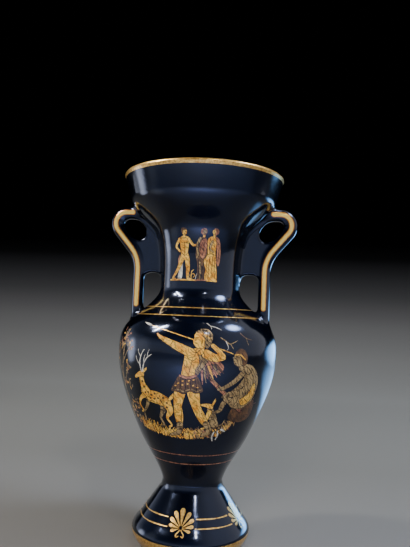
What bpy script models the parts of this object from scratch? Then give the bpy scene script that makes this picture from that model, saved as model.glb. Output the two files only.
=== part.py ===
"""A two-handled baluster vase in slip-cast, glazed earthenware, made in one piece.

The body is a turned form: flared foot, short stem, full belly, sloping shoulder, slim neck and a
bell mouth with an upright cup. It is hollow down into the foot, with a wall of even thickness.
Each handle is a round roll that springs from under the cup, curls out into a scroll and drops to
the shoulder. A thin web joins the roll to the neck, pierced by one oval hole above a tall slot.

Metres, +Z up. The origin is the centre of the underside, and the handles lie along X.
"""

import math

import bmesh
import bpy

# The turned body, from the table up. A rise is the height gained since the station below it.
WALL = 0.0045
TURNED_SIDES = 56

STAND_RADIUS = 0.0402
STAND_LEAN = 0.90
RECESS_RADIUS = 0.0344
RECESS_DEPTH = 0.0025
FOOT_RADIUS = 0.0477
FOOT_RISE = 0.0130
FLANK_RADIUS = 0.0412
FLANK_RISE = 0.0107
FLANK_LEAN = -0.72

COLLAR_RADIUS = 0.0254
COLLAR_RISE = 0.0221
COLLAR_LEAN = -0.12
STEM_RADIUS = 0.0247
STEM_RISE = 0.0060
STEM_LEAN = 0.32

LOWER_BELLY_RADIUS = 0.0445
LOWER_BELLY_RISE = 0.0367
LOWER_BELLY_LEAN = 0.47
BELLY_RADIUS = 0.0652
BELLY_RISE = 0.0650
SHOULDER_RADIUS = 0.0560
SHOULDER_RISE = 0.0255
SHOULDER_LEAN = -1.04

THROAT_RADIUS = 0.0332
THROAT_RISE = 0.0265
NECK_TOP_RADIUS = 0.0378
NECK_RISE = 0.0455
NECK_TOP_LEAN = 0.35
CUP_RADIUS = 0.0614
CUP_RISE = 0.0280
CUP_LEAN = 0.24
MOUTH_RADIUS = 0.0672
LIP_RISE = 0.0210
LIP_LEAN = 0.40
LIP_STEPS = 4

FLANK_HEIGHT = FOOT_RISE + FLANK_RISE
COLLAR_HEIGHT = FLANK_HEIGHT + COLLAR_RISE
STEM_HEIGHT = COLLAR_HEIGHT + STEM_RISE
LOWER_BELLY_HEIGHT = STEM_HEIGHT + LOWER_BELLY_RISE
BELLY_HEIGHT = LOWER_BELLY_HEIGHT + BELLY_RISE
SHOULDER_HEIGHT = BELLY_HEIGHT + SHOULDER_RISE
THROAT_HEIGHT = SHOULDER_HEIGHT + THROAT_RISE
NECK_TOP_HEIGHT = THROAT_HEIGHT + NECK_RISE
CUP_HEIGHT = NECK_TOP_HEIGHT + CUP_RISE
HEIGHT = CUP_HEIGHT + LIP_RISE

# The inside is kept where it is clear of the outside by this share of the wall.
CLEAR_SHARE = 0.995
EDGE_CLEARANCE = WALL / 4
FLOOR_CORNER = WALL / 6

# The handles. Distances are from the vase's axis to the middle of the roll.
# The roll starts a drop below the cup.
ROLL_THICKNESS = 0.0101
ROLL_DEPTH = 0.0112
ROLL_SIDES = 12
ROLL_DROP = 0.0097
SCROLL_DISTANCE = 0.0654
SCROLL_RADIUS = 0.0093
SCROLL_HEIGHT = CUP_HEIGHT - ROLL_DROP - SCROLL_RADIUS
SCROLL_STEPS = 8
SLANT = math.radians(40)
STAY_DISTANCE = 0.0535
ELBOW_RADIUS = 0.0300
ELBOW_STEPS = 4
STAY_STEPS = 2
ROOT_FLARE = 0.0024
ROOT_LENGTH = 0.0100
ROOT_STEPS = 3
WEB_THICKNESS = 0.0070
WEB_STEPS = 9
EMBED = 0.0022

# The oval hole lies inward of the scroll's middle and below it. The slot starts above the throat.
HOLE_INSET = 0.0071
HOLE_DROP = 0.0045
HOLE_DISTANCE = SCROLL_DISTANCE - HOLE_INSET
HOLE_HEIGHT = SCROLL_HEIGHT - HOLE_DROP
HOLE_LENGTH = 0.0226
HOLE_WIDTH = 0.0155
HOLE_TILT = math.radians(38)
HOLE_SIDES = 24
CUTTER_DEPTH = WEB_THICKNESS * 3
SLOT_RISE = 0.0060
SLOT_CROWN = 0.0070
SLOT_SPRING = THROAT_HEIGHT + SLOT_RISE
ARCH_STEPS = 8

GLAZE_COLOUR = (0.004, 0.005, 0.010, 1.0)
GLAZE_ROUGHNESS = 0.06
SHARP_ANGLE = math.radians(35)


def curve(low, high, steps):
    """Points on a smooth curve up from one station to the next, without its first point.

    A station is (radius, height, lean), and its lean is the radius gained for each unit of height.
    """
    pull = (high[1] - low[1]) / 3
    corners = (
        (low[0], low[1]),
        (low[0] + low[2] * pull, low[1] + pull),
        (high[0] - high[2] * pull, high[1] - pull),
        (high[0], high[1]),
    )
    points = []
    for i in range(1, steps + 1):
        t = i / steps
        s = 1.0 - t
        weights = (s**3, 3 * s * s * t, 3 * s * t * t, t**3)
        points.append(tuple(sum(w * c[k] for w, c in zip(weights, corners)) for k in (0, 1)))
    return points


def outer_outline():
    """The outside of the vase as (radius, height), from the foot's stand up to the lip.

    Each station adds the number of steps up to it. The collar is a crease, so it has two leans.
    """
    cone = (FLANK_RADIUS - COLLAR_RADIUS) / (FLANK_HEIGHT - COLLAR_HEIGHT)
    stations = [
        (STAND_RADIUS, 0.0, STAND_LEAN, 0),
        (FOOT_RADIUS, FOOT_RISE, 0.0, 3),
        (FLANK_RADIUS, FLANK_HEIGHT, FLANK_LEAN, 3),
        (COLLAR_RADIUS, COLLAR_HEIGHT, cone, 2),
        (COLLAR_RADIUS, COLLAR_HEIGHT, COLLAR_LEAN, 0),
        (STEM_RADIUS, STEM_HEIGHT, STEM_LEAN, 2),
        (LOWER_BELLY_RADIUS, LOWER_BELLY_HEIGHT, LOWER_BELLY_LEAN, 5),
        (BELLY_RADIUS, BELLY_HEIGHT, 0.0, 6),
        (SHOULDER_RADIUS, SHOULDER_HEIGHT, SHOULDER_LEAN, 5),
        (THROAT_RADIUS, THROAT_HEIGHT, 0.0, 5),
        (NECK_TOP_RADIUS, NECK_TOP_HEIGHT, NECK_TOP_LEAN, 3),
        (CUP_RADIUS, CUP_HEIGHT, CUP_LEAN, 6),
        (MOUTH_RADIUS, HEIGHT - WALL / 2, LIP_LEAN, 2),
    ]
    line = [stations[0][:2]]
    for low, high in zip(stations, stations[1:]):
        line += curve(low, high, high[3])
    return line


def distance_to(point, line):
    """The shortest distance from a point to a line of points."""
    best = math.inf
    for a, b in zip(line, line[1:]):
        along = (b[0] - a[0], b[1] - a[1])
        length = along[0] ** 2 + along[1] ** 2
        share = ((point[0] - a[0]) * along[0] + (point[1] - a[1]) * along[1]) / length
        share = min(1.0, max(0.0, share))
        best = min(best, math.hypot(point[0] - a[0] - share * along[0], point[1] - a[1] - share * along[1]))
    return best


def inner_outline(outer):
    """The inside of the wall, one wall thickness in from the outside, from the lip down to the floor."""
    floor = RECESS_DEPTH + WALL
    kept = []
    for before, here, after in zip(outer, outer[1:], outer[2:]):
        along = (after[0] - before[0], after[1] - before[1])
        length = math.hypot(*along)
        inside = (here[0] - along[1] / length * WALL, here[1] + along[0] / length * WALL)
        if inside[1] > floor + EDGE_CLEARANCE and distance_to(inside, outer) > WALL * CLEAR_SHARE:
            kept.append(inside)
    lip = (MOUTH_RADIUS - WALL, HEIGHT - WALL / 2)
    thinned = kept[:1] + kept[2:-1:2] + kept[-1:]
    line = [p for p in reversed(thinned) if p[1] < lip[1] - EDGE_CLEARANCE]
    reach = line[-1][0]
    return [lip] + line + [(reach, floor + FLOOR_CORNER), (reach - FLOOR_CORNER, floor)]


def lip_arc():
    """The half-round top of the wall, from outside to inside, without its two ends."""
    centre = (MOUTH_RADIUS - WALL / 2, HEIGHT - WALL / 2)
    turns = [math.pi * i / LIP_STEPS for i in range(1, LIP_STEPS)]
    return [(centre[0] + WALL / 2 * math.cos(a), centre[1] + WALL / 2 * math.sin(a)) for a in turns]


def radius_at(outer, height):
    """The outside radius at a height above the foot."""
    for a, b in zip(outer, outer[1:]):
        if a[1] <= height <= b[1] and b[1] > a[1]:
            return a[0] + (b[0] - a[0]) * (height - a[1]) / (b[1] - a[1])
    return outer[-1][0]


def turned(name, line):
    """A closed solid turned about Z from a line of points that starts and ends on the axis."""
    mesh = bpy.data.meshes.new(name)
    form = bmesh.new()
    rings = []
    for radius, height in line:
        if radius == 0.0:
            rings.append([form.verts.new((0.0, 0.0, height))])
            continue
        turns = [2 * math.pi * i / TURNED_SIDES for i in range(TURNED_SIDES)]
        rings.append([form.verts.new((radius * math.cos(a), radius * math.sin(a), height)) for a in turns])
    for low, high in zip(rings, rings[1:]):
        for i in range(TURNED_SIDES):
            j = (i + 1) % TURNED_SIDES
            corners = [low[i % len(low)], low[j % len(low)], high[j % len(high)], high[i % len(high)]]
            form.faces.new(list(dict.fromkeys(corners)))
    bmesh.ops.recalc_face_normals(form, faces=form.faces)
    form.to_mesh(mesh)
    form.free()
    return bpy.data.objects.new(name, mesh)


def foot_height(outer):
    """The height on the shoulder where the body is wide enough to take the whole root of the roll."""
    reach = STAY_DISTANCE + ROLL_THICKNESS / 2 + EMBED / 2
    shoulder = [p for p in outer if BELLY_HEIGHT <= p[1] <= THROAT_HEIGHT]
    for low, high in zip(shoulder, shoulder[1:]):
        if high[0] <= reach <= low[0]:
            return low[1] + (high[1] - low[1]) * (low[0] - reach) / (low[0] - high[0])
    return BELLY_HEIGHT


def arc(centre, radius, start, end, steps):
    """Points round part of a circle, with both its ends."""
    turns = [start + (end - start) * i / steps for i in range(steps + 1)]
    return [(centre[0] + radius * math.cos(a), centre[1] + radius * math.sin(a)) for a in turns]


def roll_path(outer):
    """The middle of the handle's roll as (distance, height), from under the cup down to the shoulder."""
    crown = SCROLL_HEIGHT + SCROLL_RADIUS
    root = radius_at(outer, crown) - EMBED
    path = [(root, crown), ((root + SCROLL_DISTANCE) / 2, crown)]
    path += arc((SCROLL_DISTANCE, SCROLL_HEIGHT), SCROLL_RADIUS, math.pi / 2, -SLANT, SCROLL_STEPS)

    run = path[-1][0] - STAY_DISTANCE
    corner = path[-1][1] - run / math.tan(SLANT)
    elbow = (STAY_DISTANCE + ELBOW_RADIUS, corner - ELBOW_RADIUS * math.tan(SLANT / 2))
    path += arc(elbow, ELBOW_RADIUS, math.pi - SLANT, math.pi, ELBOW_STEPS)

    bend = path[-1][1]
    foot = foot_height(outer)
    drop = bend - foot - ROOT_LENGTH
    path += [(STAY_DISTANCE, bend - drop * i / STAY_STEPS) for i in range(1, STAY_STEPS + 1)]
    path += [(STAY_DISTANCE, foot + ROOT_LENGTH * (1 - i / ROOT_STEPS)) for i in range(1, ROOT_STEPS + 1)]
    return path


def roll(name, path, side):
    """The round roll: an oval section carried along the path, wider where it meets the shoulder."""
    form = bmesh.new()
    rings = []
    for k, here in enumerate(path):
        before = path[max(0, k - 1)]
        after = path[min(len(path) - 1, k + 1)]
        length = math.hypot(after[0] - before[0], after[1] - before[1])
        outward = ((after[1] - before[1]) / -length, (after[0] - before[0]) / length)
        flare = ROOT_FLARE * max(0.0, 1 - (here[1] - path[-1][1]) / ROOT_LENGTH) ** 2
        ring = []
        for i in range(ROLL_SIDES):
            a = 2 * math.pi * i / ROLL_SIDES
            push = ROLL_THICKNESS / 2 * math.cos(a)
            push += flare * math.cos(a) * (math.cos(a) < 0)
            x = side * (here[0] + outward[0] * push)
            y = (ROLL_DEPTH / 2 + flare) * math.sin(a)
            ring.append(form.verts.new((x, y, here[1] + outward[1] * push)))
        rings.append(ring)
    for low, high in zip(rings, rings[1:]):
        for i in range(ROLL_SIDES):
            j = (i + 1) % ROLL_SIDES
            form.faces.new((low[i], low[j], high[j], high[i]))
    form.faces.new(rings[0])
    form.faces.new(rings[-1])
    bmesh.ops.recalc_face_normals(form, faces=form.faces)
    mesh = bpy.data.meshes.new(name)
    form.to_mesh(mesh)
    form.free()
    return bpy.data.objects.new(name, mesh)


def plate(name, outline, depth, side):
    """A flat plate of this depth along Y, cut to an outline in the plane of the handle."""
    form = bmesh.new()
    face = form.faces.new([form.verts.new((side * x, -depth / 2, z)) for x, z in outline])
    raised = bmesh.ops.extrude_face_region(form, geom=[face])["geom"]
    back = [v for v in raised if isinstance(v, bmesh.types.BMVert)]
    bmesh.ops.translate(form, vec=(0.0, depth, 0.0), verts=back)
    bmesh.ops.triangulate(form, faces=[f for f in form.faces if len(f.verts) > 4])
    bmesh.ops.recalc_face_normals(form, faces=form.faces)
    mesh = bpy.data.meshes.new(name)
    form.to_mesh(mesh)
    form.free()
    return bpy.data.objects.new(name, mesh)


def web_outline(outer, path):
    """The web between neck and roll, from the scroll down to the arch over the slot."""
    line = [p for p in path if p[1] > SLOT_SPRING] + [(STAY_DISTANCE, SLOT_SPRING)]
    in_roll = STAY_DISTANCE - ROLL_THICKNESS / 2 + EMBED
    in_neck = radius_at(outer, SLOT_SPRING) - EMBED
    middle = (in_roll + in_neck) / 2
    half = (in_roll - in_neck) / 2
    for i in range(ARCH_STEPS + 1):
        a = math.pi * i / ARCH_STEPS
        line.append((middle + half * math.cos(a), SLOT_SPRING + SLOT_CROWN * math.sin(a)))
    crown = path[0][1]
    for i in range(1, WEB_STEPS):
        height = SLOT_SPRING + (crown - SLOT_SPRING) * i / WEB_STEPS
        line.append((radius_at(outer, height) - EMBED, height))
    return line


def hole_outline():
    """The oval hole through the web, leaning outward as it rises."""
    line = []
    for i in range(HOLE_SIDES):
        a = 2 * math.pi * i / HOLE_SIDES
        along = HOLE_LENGTH / 2 * math.cos(a)
        across = HOLE_WIDTH / 2 * math.sin(a)
        x = HOLE_DISTANCE + along * math.cos(HOLE_TILT) - across * math.sin(HOLE_TILT)
        z = HOLE_HEIGHT + along * math.sin(HOLE_TILT) + across * math.cos(HOLE_TILT)
        line.append((x, z))
    return line


def glaze():
    """Near-black gloss glaze."""
    material = bpy.data.materials.new("black_glaze")
    material.use_nodes = True
    shader = material.node_tree.nodes["Principled BSDF"]
    shader.inputs["Base Color"].default_value = GLAZE_COLOUR
    shader.inputs["Roughness"].default_value = GLAZE_ROUGHNESS
    shader.inputs["Metallic"].default_value = 0.0
    return material


def joined(target, other, operation):
    """Adds a Boolean with another object, which becomes a hidden helper."""
    bpy.context.scene.collection.objects.link(other)
    other.hide_render = True
    other.display_type = "WIRE"
    step = target.modifiers.new(other.name, "BOOLEAN")
    step.operation = operation
    step.solver = "EXACT"
    step.object = other


def vase():
    """The whole vase: turned outside, then the handles, then the cuts."""
    outer = outer_outline()
    stand = [(0.0, RECESS_DEPTH), (RECESS_RADIUS - RECESS_DEPTH, RECESS_DEPTH), (RECESS_RADIUS, 0.0)]
    inner = inner_outline(outer)
    body = turned("vase", stand + outer + lip_arc() + inner[:1] + [(0.0, inner[0][1])])
    bpy.context.scene.collection.objects.link(body)

    path = roll_path(outer)
    for side, word in ((1, "right"), (-1, "left")):
        web = plate("web_" + word, web_outline(outer, path), WEB_THICKNESS, side)
        joined(web, plate("hole_" + word, hole_outline(), CUTTER_DEPTH, side), "DIFFERENCE")
        joined(body, web, "UNION")
        joined(body, roll("roll_" + word, path, side), "UNION")

    above = HEIGHT + WALL
    cavity = [(0.0, above), (inner[0][0], above)] + inner + [(0.0, inner[-1][1])]
    joined(body, turned("cavity", cavity), "DIFFERENCE")

    body.data.materials.append(glaze())
    body.data.shade_smooth()
    body.data.set_sharp_from_angle(angle=SHARP_ANGLE)
    return body


def clear_scene():
    for old in list(bpy.data.objects):
        bpy.data.objects.remove(old, do_unlink=True)


clear_scene()
vase()
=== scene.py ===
import math

import bpy
import numpy as np
from mathutils import Matrix, Vector
from mathutils.geometry import delaunay_2d_cdt


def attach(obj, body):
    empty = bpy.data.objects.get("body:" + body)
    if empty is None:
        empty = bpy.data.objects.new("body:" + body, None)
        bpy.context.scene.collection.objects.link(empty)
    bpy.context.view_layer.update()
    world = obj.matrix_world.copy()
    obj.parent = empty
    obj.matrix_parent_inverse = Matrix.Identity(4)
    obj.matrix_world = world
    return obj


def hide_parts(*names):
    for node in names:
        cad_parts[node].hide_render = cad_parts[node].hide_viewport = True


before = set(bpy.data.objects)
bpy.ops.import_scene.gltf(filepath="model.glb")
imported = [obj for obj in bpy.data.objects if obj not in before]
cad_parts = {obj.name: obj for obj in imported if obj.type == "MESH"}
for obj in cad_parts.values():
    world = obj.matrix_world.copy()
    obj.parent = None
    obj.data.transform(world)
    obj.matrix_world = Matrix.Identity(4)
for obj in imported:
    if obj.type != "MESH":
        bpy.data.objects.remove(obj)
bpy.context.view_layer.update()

# The turned body
# Slip-cast earthenware, one even wall from the foot to the lip, fettled smooth and dipped in glaze.
# Its outline follows the same stations as the solid: radius, height, and lean, the radius gained per height.
HEIGHT = 0.300
WALL = 0.0045
FOOT_RADIUS, FOOT_WIDEST = 0.0477, 0.0130
MOUTH_RADIUS = 0.0672
CONE_LEAN = (0.0412 - 0.0254) / (0.0237 - 0.0458)
STATIONS = [
    (0.0402, 0.0, 0.90),
    (FOOT_RADIUS, FOOT_WIDEST, 0.0),
    (0.0412, 0.0237, -0.72),
    (0.0254, 0.0458, CONE_LEAN),
    (0.0254, 0.0458, -0.12),
    (0.0247, 0.0518, 0.32),
    (0.0445, 0.0885, 0.47),
    (0.0652, 0.1535, 0.0),
    (0.0560, 0.1790, -1.04),
    (0.0332, 0.2055, 0.0),
    (0.0378, 0.2510, 0.35),
    (0.0614, 0.2790, 0.24),
    (MOUTH_RADIUS, HEIGHT - WALL / 2, 0.40),
]
RECESS_RADIUS, RECESS_DEPTH = 0.0344, 0.0025
COLUMNS = 132
ROW_STEP = 0.0019


def station_curve(low, high, steps):
    """Points up a smooth curve from one station to the next, without its first point."""
    pull = (high[1] - low[1]) / 3
    corners = np.array([
        (low[0], low[1]),
        (low[0] + low[2] * pull, low[1] + pull),
        (high[0] - high[2] * pull, high[1] - pull),
        (high[0], high[1]),
    ])
    t = np.arange(1, steps + 1)[:, None] / steps
    return (1 - t) ** 3 * corners[0] + 3 * (1 - t) ** 2 * t * corners[1] + 3 * (1 - t) * t**2 * corners[2] + t**3 * corners[3]


outline = [np.array([STATIONS[0][:2]])]
outline += [station_curve(a, b, 60) for a, b in zip(STATIONS, STATIONS[1:]) if b[1] > a[1]]
outline = np.vstack(outline)
steps_along = np.hypot(*np.diff(outline, axis=0).T)
along = np.concatenate([[0.0], np.cumsum(steps_along)])
FULL_LENGTH = along[-1]


def outline_at(distance):
    """Radius and height at a distance up the outside, measured from the stand ring."""
    return np.interp(distance, along, outline[:, 0]), np.interp(distance, along, outline[:, 1])


def distance_at(height):
    """The distance up the outside at which the outline reaches a height."""
    return float(np.interp(height, outline[:, 1], along))


def outline_normal(distance):
    """The outward direction (radial, upward) of the outside at a distance up it."""
    reach = 0.0004
    low = np.clip(distance - reach, 0, FULL_LENGTH)
    high = np.clip(distance + reach, 0, FULL_LENGTH)
    radius_gain = np.interp(high, along, outline[:, 0]) - np.interp(low, along, outline[:, 0])
    height_gain = np.interp(high, along, outline[:, 1]) - np.interp(low, along, outline[:, 1])
    length = np.hypot(radius_gain, height_gain)
    return height_gain / length, -radius_gain / length


def srgb(text):
    """A colour written as an sRGB hex value, turned to linear."""
    parts = [int(text[i:i + 2], 16) / 255 for i in (1, 3, 5)]
    return tuple(c / 12.92 if c <= 0.04045 else ((c + 0.055) / 1.055) ** 2.4 for c in parts) + (1.0,)


def add_node(material, kind, settings=(), links=()):
    """One shader node with its settings, and links into it from other nodes' sockets."""
    node = material.node_tree.nodes.new(kind)
    for key, value in dict(settings).items():
        if isinstance(key, str) and hasattr(node, key):
            setattr(node, key, value)
        else:
            node.inputs[key].default_value = value
    for key, source in dict(links).items():
        material.node_tree.links.new(source, node.inputs[key])
    return node


def new_material(name, settings):
    """A material on its Principled shader, with plain settings on the shader's own sockets."""
    material = bpy.data.materials.new(name)
    material.use_nodes = True
    shader = material.node_tree.nodes["Principled BSDF"]
    for key, value in settings.items():
        shader.inputs[key].default_value = value
    return material, shader


def join_nodes(material, source, socket):
    material.node_tree.links.new(source, socket)


# Black gloss glaze: a lead-free iron and cobalt glaze fired to a glassy skin. Near-black with a navy cast,
# sharp reflections, and the slow waviness of a dipped coat.
def black_gloss_glaze():
    material, shader = new_material("black_gloss_glaze", {"Roughness": 0.14, "IOR": 1.38, "Coat Weight": 0.45,
                                                          "Coat Roughness": 0.04, "Coat IOR": 1.4,
                                                          "Specular Tint": srgb("#B9CBFF")})
    place = add_node(material, "ShaderNodeTexCoord")
    pooling = add_node(material, "ShaderNodeTexNoise", {"Scale": 1 / 0.035, "Detail": 2.0}, {"Vector": place.outputs["Object"]})
    tint = add_node(material, "ShaderNodeValToRGB", (), {"Fac": pooling.outputs["Fac"]})
    tint.color_ramp.elements[0].position, tint.color_ramp.elements[0].color = 0.35, srgb("#010206")
    tint.color_ramp.elements[1].position, tint.color_ramp.elements[1].color = 0.70, srgb("#040814")
    join_nodes(material, tint.outputs["Color"], shader.inputs["Base Color"])
    waves = add_node(material, "ShaderNodeTexNoise", {"Scale": 1 / 0.011, "Detail": 2.5}, {"Vector": place.outputs["Object"]})
    skin = add_node(material, "ShaderNodeBump", {"Strength": 0.25, "Distance": 0.0008}, {"Height": waves.outputs["Fac"]})
    join_nodes(material, skin.outputs["Normal"], shader.inputs["Normal"])
    return material


# Bare clay: the glaze is wiped off the ring that stood on the kiln shelf, which shows the pale buff body.
def bare_clay():
    material, shader = new_material("bare_buff_clay", {"Roughness": 0.85, "IOR": 1.45})
    place = add_node(material, "ShaderNodeTexCoord")
    grog = add_node(material, "ShaderNodeTexNoise", {"Scale": 1 / 0.0012, "Detail": 4.0}, {"Vector": place.outputs["Object"]})
    tint = add_node(material, "ShaderNodeValToRGB", (), {"Fac": grog.outputs["Fac"]})
    tint.color_ramp.elements[0].position, tint.color_ramp.elements[0].color = 0.3, srgb("#A98F74")
    tint.color_ramp.elements[1].position, tint.color_ramp.elements[1].color = 0.7, srgb("#CDB79A")
    join_nodes(material, tint.outputs["Color"], shader.inputs["Base Color"])
    return material



# The decoration is worked out on the unrolled outside. Across is the way round at ROLL_OUT radius, from the
# seam at the back left; up is the distance up the outline. Azimuth 0 is the front (-Y), right is positive.
GLAZE, CLAY, GILT, GOLD, TAN, COPPER, UMBER, PALE = range(8)
ROLL_OUT = 0.060
FULL_ROUND = 2 * math.pi * ROLL_OUT
SEAM_AZIMUTH = -118
paint = []


def across_at(azimuth):
    """The way round to an azimuth in degrees."""
    return ROLL_OUT * np.radians((np.asarray(azimuth) - SEAM_AZIMUTH) % 360)


def band(low, high, finish, wobble, seed):
    """A painted ring right round the body between two heights, its edges a little uneven."""
    across = np.linspace(0.0, FULL_ROUND, 61)
    turn = across / ROLL_OUT
    lift = wobble * (np.sin(3 * turn + seed) + 0.6 * np.sin(7 * turn + 2 * seed))
    swell = wobble * 0.5 * np.sin(11 * turn + 3 * seed)
    bottom = np.column_stack([across, distance_at(low) + lift - swell])
    top = np.column_stack([across, distance_at(high) + lift + swell])
    paint.append((finish, np.vstack([bottom, top[::-1]])))


def smooth_line(points, closed, spans):
    """Points on a smooth line through the given ones."""
    points = np.asarray(points, float)
    if closed:
        before, here, after, beyond = (np.roll(points, k, axis=0)[:, None] for k in (1, 0, -1, -2))
    else:
        padded = np.vstack([2 * points[0] - points[1], points, 2 * points[-1] - points[-2]])
        before, here, after, beyond = (p[:, None] for p in (padded[:-3], padded[1:-2], padded[2:-1], padded[3:]))
    t = (np.arange(spans) / spans)[None, :, None]
    line = here + 0.5 * ((after - before) * t + (2 * before - 5 * here + 4 * after - beyond) * t**2
                         + (3 * here - before - 3 * after + beyond) * t**3)
    line = line.reshape(-1, points.shape[1])
    return line if closed else np.vstack([line, points[-1:]])


def brush_stroke(points):
    """The outline of a stroke along points that each give the brush's width, with round ends."""
    line = smooth_line(points, False, 3)
    middle, half = line[:, :2], np.maximum(line[:, 2:], 0.12) / 2
    run = np.gradient(middle, axis=0)
    run /= np.hypot(run[:, 0], run[:, 1])[:, None]
    side = np.column_stack([-run[:, 1], run[:, 0]])
    cap = np.radians((-60, -20, 20, 60))[:, None]
    end = middle[-1] + half[-1] * (np.cos(cap) * run[-1] + np.sin(cap) * side[-1])
    begin = middle[0] - half[0] * (np.cos(cap) * run[0] + np.sin(cap) * side[0])
    return np.vstack([middle - side * half, end, (middle + side * half)[::-1], begin])


def draw(azimuth, base, strokes, size=1.0, rim=0.0):
    """Lays strokes (right, up, width) and closed patches (right, up), in mm from a spot, on the outside.

    Each broad shape may keep a rim of bare glaze round it, this many mm wide, which parts it from what it covers.
    """
    start = distance_at(base)
    for finish, points in strokes:
        shape = np.array(points, float) * size
        brushed = shape.shape[1] == 3
        thin = finish == GLAZE or (brushed and shape[:, 2].max() < 1.25)
        for coat, grow in ((GLAZE, rim), (finish, 0.0))[int(rim == 0.0 or thin):]:
            flat = brush_stroke(shape + (0, 0, 2 * grow)) if brushed else smooth_line(shape, True, 5)
            area = np.sum(flat[:, 0] * np.roll(flat[:, 1], -1) - flat[:, 1] * np.roll(flat[:, 0], -1))
            if area < 0:
                flat = flat[::-1]
            if not brushed:
                run = np.roll(flat, -1, axis=0) - np.roll(flat, 1, axis=0)
                flat = flat + grow * np.column_stack([run[:, 1], -run[:, 0]]) / np.hypot(run[:, 0], run[:, 1])[:, None]
            up = start + flat[:, 1] / 1000
            across = across_at(azimuth) + ROLL_OUT * flat[:, 0] / 1000 / outline_at(up)[0]
            paint.append((coat, np.column_stack([across, up])))


# Gilt lines and rims
# Liquid bright gold, laid with a fine brush while the vase turns on a banding wheel, and fired a third time.
# Two rings under the neck, two above the stem, a broad one on the foot's edge, and the lip.
RING_HEIGHTS = (0.1894, 0.1832, 0.0775, 0.0697)
RING_WIDTH = 0.00055
FOOT_BAND = (0.0008, 0.0128)
LIP_BAND = 0.0020

for number, ring_height in enumerate(RING_HEIGHTS):
    band(ring_height - RING_WIDTH / 2, ring_height + RING_WIDTH / 2, (GILT, COPPER)[number > 1], 0.00006, 1.7 * number)
band(*FOOT_BAND, GILT, 0.0002, 4.0)
band(HEIGHT - WALL / 2 - LIP_BAND, HEIGHT - WALL / 2, GILT, 0.0, 0.0)


# Burnished gilt: a bright metal film, slightly streaked by the brush, that takes the glaze's gloss.
def burnished_gilt():
    material, shader = new_material("burnished_gilt", {"Metallic": 0.75, "Coat Weight": 0.5, "Coat Roughness": 0.05})
    place = add_node(material, "ShaderNodeTexCoord")
    streaks = add_node(material, "ShaderNodeTexNoise", {"Scale": 1 / 0.0016, "Detail": 5.0},
                       {"Vector": place.outputs["Object"]})
    tint = add_node(material, "ShaderNodeValToRGB", (), {"Fac": streaks.outputs["Fac"]})
    tint.color_ramp.elements[0].position, tint.color_ramp.elements[0].color = 0.30, srgb("#A26C1E")
    tint.color_ramp.elements[1].position, tint.color_ramp.elements[1].color = 0.62, srgb("#E6B860")
    join_nodes(material, tint.outputs["Color"], shader.inputs["Base Color"])
    gloss = add_node(material, "ShaderNodeMapRange", {"To Min": 0.22, "To Max": 0.42},
                     {"Value": streaks.outputs["Fac"]})
    join_nodes(material, gloss.outputs["Result"], shader.inputs["Roughness"])
    return material


# Palmettes on the foot
# A gilt transfer of nine petals over two curls, one under each face and each handle, set by eye.
# Two gilt lines run round the foot between them and stop a little short of each.
PALMETTE_AZIMUTHS = (-2, 75, 177, -94)
PALMETTE_HEIGHT = 0.0243
FOOT_LINES = (0.0298, 0.0241)
FOOT_LINE_WIDTH = 0.0007
PETALS = ((0, 15.2, 3.9), (26, 13.7, 3.3), (53, 11.5, 3.1), (80, 9.7, 2.7), (108, 8.0, 2.3))
PETAL_SHAPE = ((0.14, 0.16), (0.50, 0.52), (0.80, 1.0), (0.87, 0.92))
CURL = ((0.5, -1.2, 0.7), (1.6, -3.0, 0.9), (2.9, -4.6, 0.9), (2.4, -6.4, 0.9), (1.0, -5.6, 0.7))


def palmette(azimuth, base, size):
    strokes = [(GLAZE, [(-11.0, 3), (-9.2, 13), (0, 17.0), (9.2, 13), (11.0, 3), (8.6, -6), (0, -8), (-8.6, -6)])]
    for lean, length, width in PETALS:
        for side in (-1, 1)[lean == 0:]:
            a = math.radians(lean * side)
            strokes.append((GILT, [(math.sin(a) * length * reach, math.cos(a) * length * reach, width * share)
                                   for reach, share in PETAL_SHAPE]))
    for side in (-1, 1):
        strokes.append((GILT, [(x * side, y, width) for x, y, width in CURL]))
    draw(azimuth, base, strokes, size)


for line_height in FOOT_LINES:
    band(line_height - FOOT_LINE_WIDTH / 2, line_height + FOOT_LINE_WIDTH / 2, GILT, 0.0002, 60 * line_height)
for palmette_azimuth in PALMETTE_AZIMUTHS:
    palmette(palmette_azimuth, PALMETTE_HEIGHT, 1.0)

# The picture on the neck
# A printed transfer in enamel gold and browns, fired under a clear flux: a youth with a staff and two robed
# women on a ground line, in the flat manner of Greek red-figure pots. Thin glaze lines draw the folds.
NECK_GROUND = 0.2112
NECK_RIM = 0.24
INK = 0.42


def ink(*points):
    """A thin line in the colour of the glaze."""
    return (GLAZE, [(x, y, INK) for x, y in points])


def disc(finish, x, y, wide, tall, lean=0):
    """A small oval patch."""
    a = math.radians(lean)
    turns = [2 * math.pi * i / 7 for i in range(7)]
    corners = [(wide / 2 * math.cos(t), tall / 2 * math.sin(t)) for t in turns]
    return (finish, [(x + u * math.cos(a) - v * math.sin(a), y + u * math.sin(a) + v * math.cos(a)) for u, v in corners])


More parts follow.
